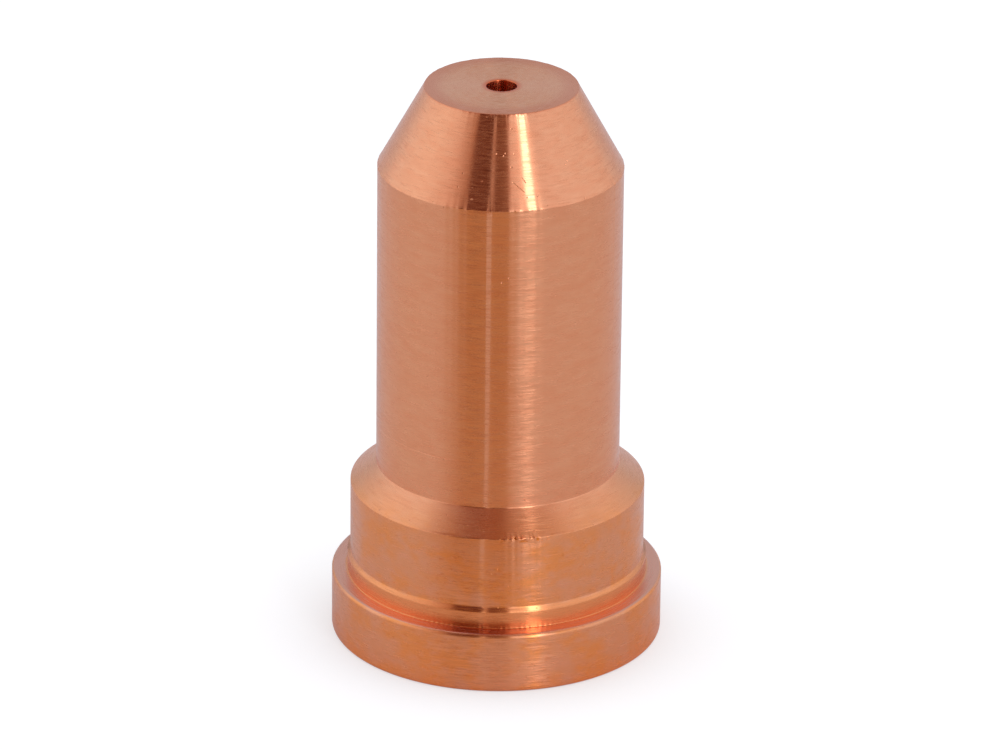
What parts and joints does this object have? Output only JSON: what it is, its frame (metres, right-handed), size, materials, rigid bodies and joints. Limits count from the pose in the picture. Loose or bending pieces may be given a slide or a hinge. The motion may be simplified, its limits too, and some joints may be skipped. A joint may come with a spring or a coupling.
{
  "type": "plasma torch nozzle",
  "caption": "Turned copper plasma torch nozzle: a flat-tipped cone on a straight body, a stepped collar and base flange, and a stepped bore narrowing to the arc orifice.",
  "frame": {"origin": "centre of the flange's base face, on the nozzle's axis", "axes": "+Z along the axis from the base flange to the front face; +X and +Y are any pair across it"},
  "size_m": [0.0164, 0.0164, 0.0287],
  "materials": {
    "turned_copper": "bare copper, fine turned all over, satin"
  },
  "bodies": {
    "root": {"nozzle": "turned_copper"}
  },
  "joints": []
}
